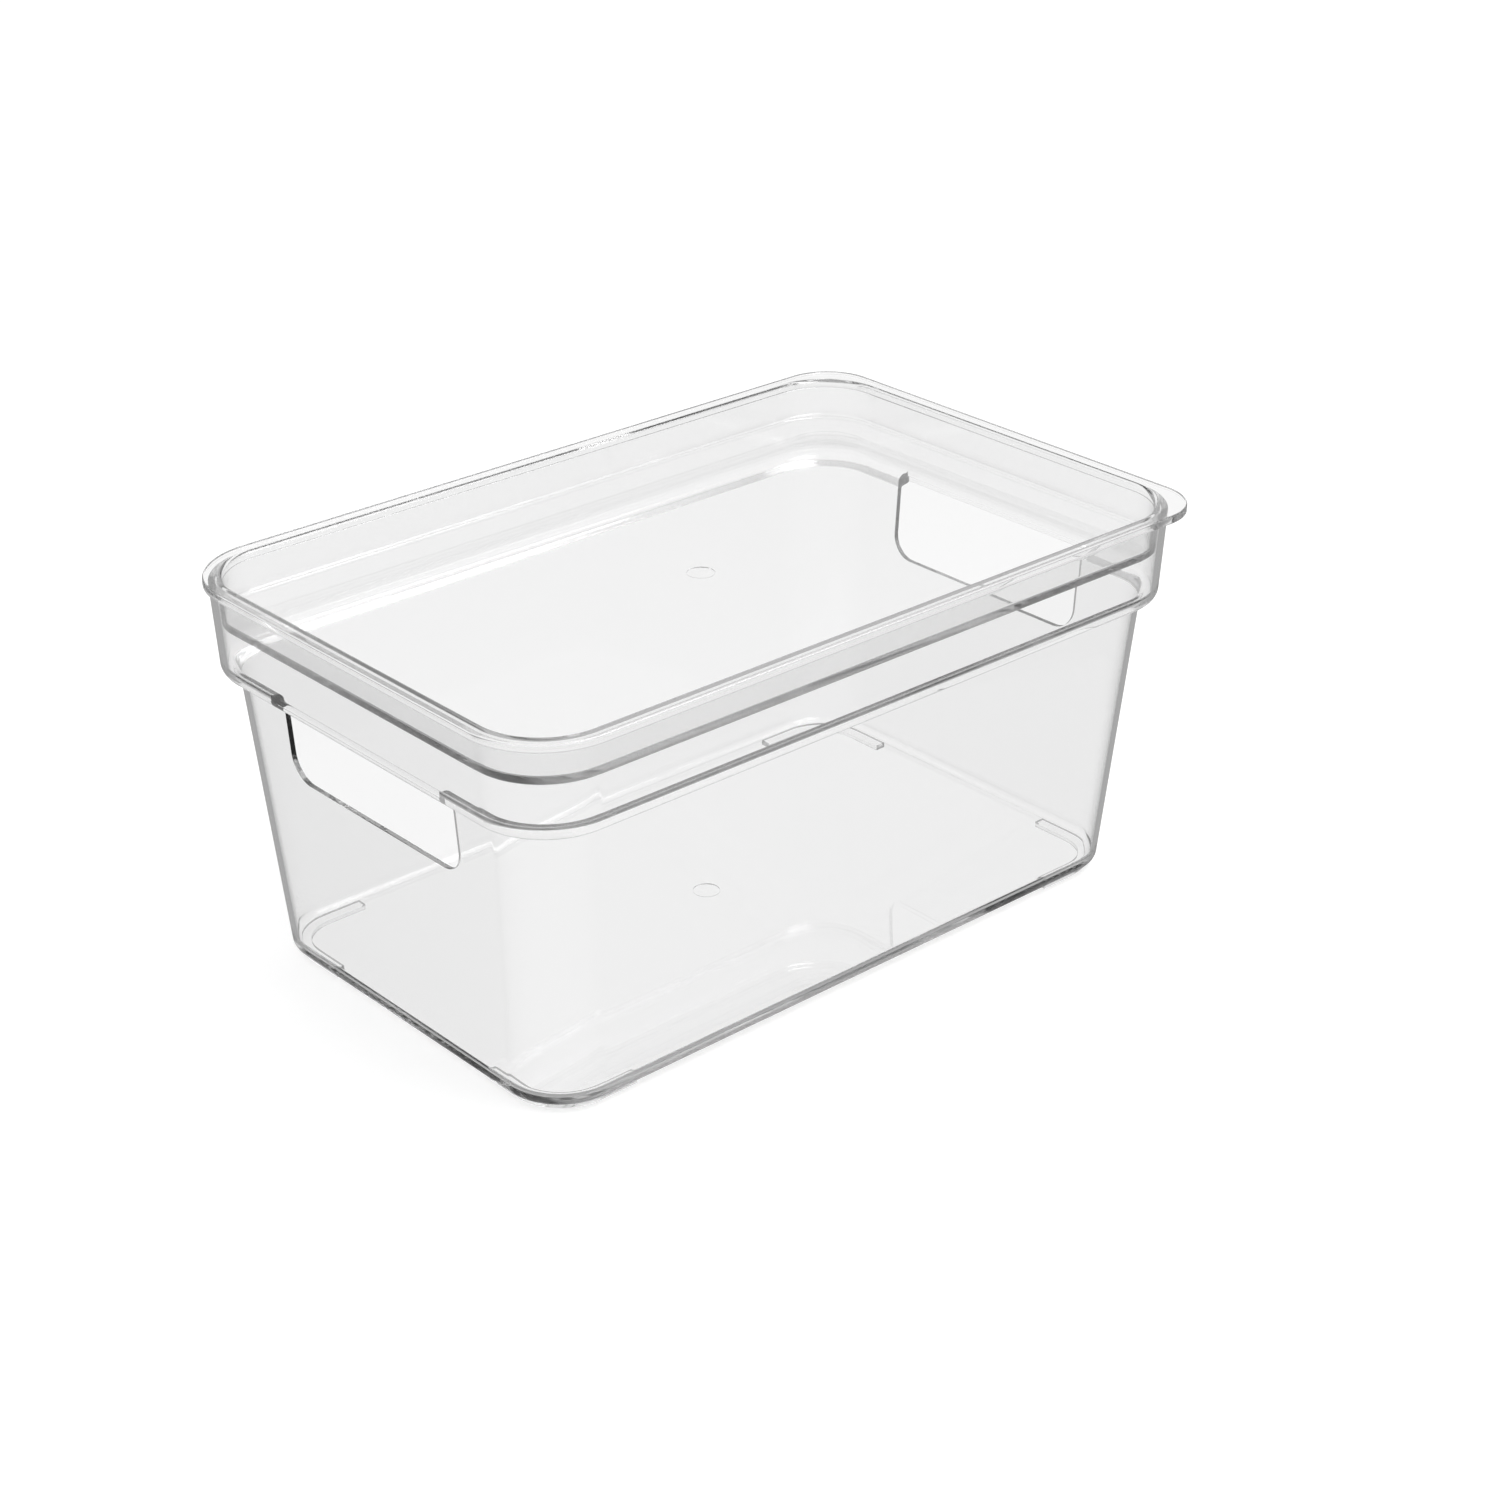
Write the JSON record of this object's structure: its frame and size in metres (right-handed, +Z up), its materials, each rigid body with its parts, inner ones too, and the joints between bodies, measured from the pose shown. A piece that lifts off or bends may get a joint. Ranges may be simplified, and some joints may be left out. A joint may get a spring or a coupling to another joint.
{
  "type": "storage bin",
  "caption": "Clear rectangular storage bin with finger openings under the collar at both ends, corner feet and a drop-in tray lid that lifts off.",
  "frame": {"origin": "on the ground under the middle of the lid's outline", "axes": "+X along the long side towards the lid's wider tab, +Y across the short side, +Z up"},
  "size_m": [0.263, 0.1694, 0.124],
  "materials": {
    "clear_bin": "clear, polished moulded plastic",
    "clear_lid": "clear, polished moulded plastic"
  },
  "bodies": {
    "bin": {"bin_body": "clear_bin"},
    "lid": {"lid": "clear_lid"}
  },
  "joints": [
    {"name": "lid_lift", "type": "slide", "parent": "bin", "child": "lid", "axis": [0, 0, 1], "range_m": [0, 0.16]}
  ]
}
